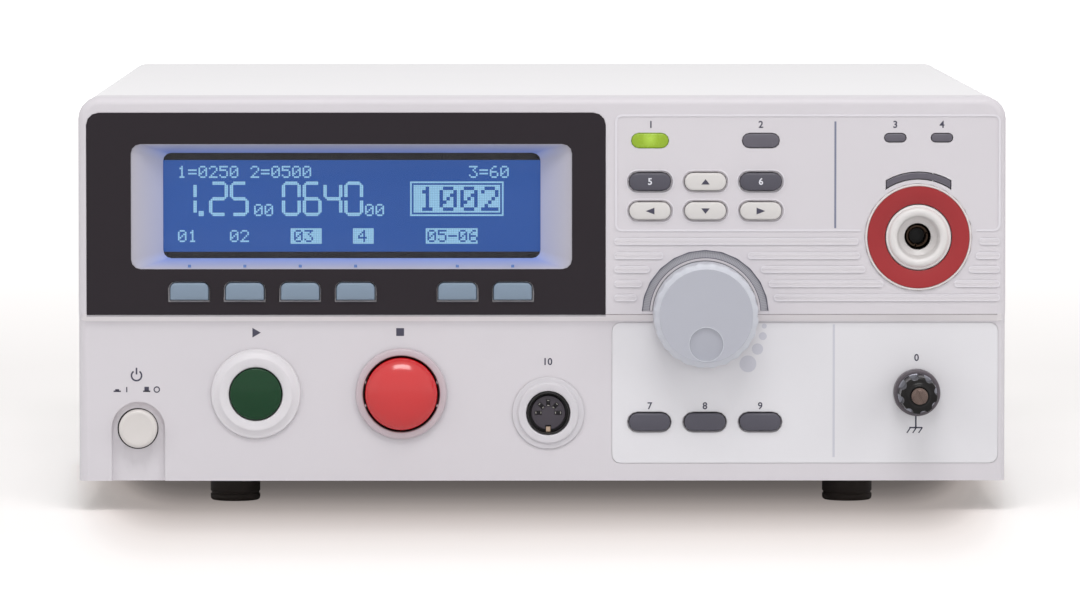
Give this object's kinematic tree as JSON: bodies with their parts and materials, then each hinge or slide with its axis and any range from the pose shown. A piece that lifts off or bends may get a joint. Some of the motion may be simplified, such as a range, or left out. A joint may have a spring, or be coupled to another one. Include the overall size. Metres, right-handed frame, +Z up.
{
  "type": "bench electrical safety tester",
  "caption": "Bench electrical safety tester in a white case, with a display, push keys, rotary knob, start and stop buttons, a high-voltage socket and a return terminal.",
  "frame": {"origin": "middle of the whole outline, on the surface that the feet stand on", "axes": "+Z up, the front panel faces -Y, +X to the right seen from the front"},
  "size_m": [0.33, 0.452, 0.148],
  "materials": {
    "white_moulding": "fine satin moulded plastic",
    "white_paint": "white powder coat on sheet steel",
    "dark_film": "dark printed film",
    "pale_film": "white printed film",
    "grey_moulding": "pale grey moulded plastic",
    "display_window": "clear flat window over a blue display",
    "plated_steel": "zinc-plated sheet steel",
    "soft_key": "blue-grey moulded key",
    "pale_key": "off-white moulded key",
    "dark_key": "dark grey moulded key",
    "insulator": "white insulating plastic",
    "circuit_board": "green solder mask",
    "lit_lens": "green lens, lit",
    "unlit_lens": "grey lens, unlit",
    "knob_grey": "grey moulded knob",
    "nickel": "nickel plate",
    "red_ring": "red moulded ring",
    "red_button": "polished red button",
    "green_button": "dark green button",
    "black_plastic": "black moulded plastic",
    "black_rubber": "moulded black rubber"
  },
  "bodies": {
    "case": {"front_panel": "white_moulding", "display_overlay": "dark_film", "lower_overlay": "pale_film", "display_frame": "grey_moulding", "display_glass": "display_window", "display_module": "plated_steel", "key_board": "circuit_board", "lens_pass": "lit_lens", "lens_fail": "unlit_lens", "lens_ready": "unlit_lens", "lens_test": "unlit_lens", "lens_output": "unlit_lens", "encoder": "plated_steel", "hv_ring": "red_ring", "hv_socket": "insulator", "hv_contact": "nickel", "return_base": "black_plastic", "return_stud": "nickel", "start_collar": "white_moulding", "stop_collar": "grey_moulding", "power_switch": "black_plastic", "remote_ring": "white_moulding", "remote_socket": "black_plastic", "top_cover": "white_paint", "bottom_chassis": "plated_steel", "rear_panel": "plated_steel", "foot_front_left": "black_rubber", "foot_front_right": "black_rubber", "foot_rear_left": "black_rubber", "foot_rear_right": "black_rubber", "fan_frame": "black_plastic", "fan_guard": "nickel", "mains_inlet": "black_plastic", "signal_port": "nickel", "main_board": "circuit_board", "hv_transformer": "plated_steel"},
    "soft_key_1": {"soft_key_1": "soft_key"},
    "soft_key_2": {"soft_key_2": "soft_key"},
    "soft_key_3": {"soft_key_3": "soft_key"},
    "soft_key_4": {"soft_key_4": "soft_key"},
    "soft_key_5": {"soft_key_5": "soft_key"},
    "soft_key_6": {"soft_key_6": "soft_key"},
    "key_escape": {"key_escape": "dark_key"},
    "key_up": {"key_up": "pale_key"},
    "key_field": {"key_field": "dark_key"},
    "key_left": {"key_left": "pale_key"},
    "key_down": {"key_down": "pale_key"},
    "key_right": {"key_right": "pale_key"},
    "key_edit": {"key_edit": "dark_key"},
    "key_save": {"key_save": "dark_key"},
    "key_utility": {"key_utility": "dark_key"},
    "start_button": {"start_button": "green_button"},
    "stop_button": {"stop_button": "red_button"},
    "power_button": {"power_button": "pale_key"},
    "knob": {"knob": "knob_grey", "encoder_shaft": "nickel"},
    "return_washer": {"return_washer": "nickel"},
    "return_nut": {"return_nut": "black_plastic"},
    "fan_rotor": {"fan_rotor": "black_plastic"},
    "fuse_drawer": {"fuse_drawer": "black_plastic"}
  },
  "joints": [
    {"name": "soft_key_1_press", "type": "slide", "parent": "case", "child": "soft_key_1", "axis": [0, 1, 0], "range_m": [0, 0.001], "stiffness_N_per_m": 800},
    {"name": "soft_key_2_press", "type": "slide", "parent": "case", "child": "soft_key_2", "axis": [0, 1, 0], "range_m": [0, 0.001], "stiffness_N_per_m": 800},
    {"name": "soft_key_3_press", "type": "slide", "parent": "case", "child": "soft_key_3", "axis": [0, 1, 0], "range_m": [0, 0.001], "stiffness_N_per_m": 800},
    {"name": "soft_key_4_press", "type": "slide", "parent": "case", "child": "soft_key_4", "axis": [0, 1, 0], "range_m": [0, 0.001], "stiffness_N_per_m": 800},
    {"name": "soft_key_5_press", "type": "slide", "parent": "case", "child": "soft_key_5", "axis": [0, 1, 0], "range_m": [0, 0.001], "stiffness_N_per_m": 800},
    {"name": "soft_key_6_press", "type": "slide", "parent": "case", "child": "soft_key_6", "axis": [0, 1, 0], "range_m": [0, 0.001], "stiffness_N_per_m": 800},
    {"name": "key_escape_press", "type": "slide", "parent": "case", "child": "key_escape", "axis": [0, 1, 0], "range_m": [0, 0.001], "stiffness_N_per_m": 800},
    {"name": "key_up_press", "type": "slide", "parent": "case", "child": "key_up", "axis": [0, 1, 0], "range_m": [0, 0.001], "stiffness_N_per_m": 800},
    {"name": "key_field_press", "type": "slide", "parent": "case", "child": "key_field", "axis": [0, 1, 0], "range_m": [0, 0.001], "stiffness_N_per_m": 800},
    {"name": "key_left_press", "type": "slide", "parent": "case", "child": "key_left", "axis": [0, 1, 0], "range_m": [0, 0.001], "stiffness_N_per_m": 800},
    {"name": "key_down_press", "type": "slide", "parent": "case", "child": "key_down", "axis": [0, 1, 0], "range_m": [0, 0.001], "stiffness_N_per_m": 800},
    {"name": "key_right_press", "type": "slide", "parent": "case", "child": "key_right", "axis": [0, 1, 0], "range_m": [0, 0.001], "stiffness_N_per_m": 800},
    {"name": "key_edit_press", "type": "slide", "parent": "case", "child": "key_edit", "axis": [0, 1, 0], "range_m": [0, 0.001], "stiffness_N_per_m": 800},
    {"name": "key_save_press", "type": "slide", "parent": "case", "child": "key_save", "axis": [0, 1, 0], "range_m": [0, 0.001], "stiffness_N_per_m": 800},
    {"name": "key_utility_press", "type": "slide", "parent": "case", "child": "key_utility", "axis": [0, 1, 0], "range_m": [0, 0.001], "stiffness_N_per_m": 800},
    {"name": "start_press", "type": "slide", "parent": "case", "child": "start_button", "axis": [0, 1, 0], "range_m": [0, 0.002], "stiffness_N_per_m": 600},
    {"name": "stop_press", "type": "slide", "parent": "case", "child": "stop_button", "axis": [0, 1, 0], "range_m": [0, 0.003], "stiffness_N_per_m": 600},
    {"name": "power_press", "type": "slide", "parent": "case", "child": "power_button", "axis": [0, 1, 0], "range_m": [0, 0.0035], "stiffness_N_per_m": 500},
    {"name": "knob_turn", "type": "hinge", "parent": "case", "child": "knob", "pos_m": [0.058, -0.2049, 0.0708], "axis": [0, -1, 0], "continuous": true},
    {"name": "nut_travel", "type": "slide", "parent": "case", "child": "return_washer", "axis": [0, -1, 0], "range_m": [0, 0.004]},
    {"name": "nut_turn", "type": "hinge", "parent": "return_washer", "child": "return_nut", "pos_m": [0.1334, -0.2024, 0.0426], "axis": [0, -1, 0], "range_deg": [0, 1800]},
    {"name": "fan_spin", "type": "hinge", "parent": "case", "child": "fan_rotor", "pos_m": [0.095, 0.2083, 0.08], "axis": [0, 1, 0], "continuous": true},
    {"name": "drawer_slide", "type": "slide", "parent": "case", "child": "fuse_drawer", "axis": [0, 1, 0], "range_m": [0, 0.016]}
  ],
  "couplings": [
    {"joint": "nut_turn", "follows": "nut_travel", "rad_per_m": 7854}
  ]
}
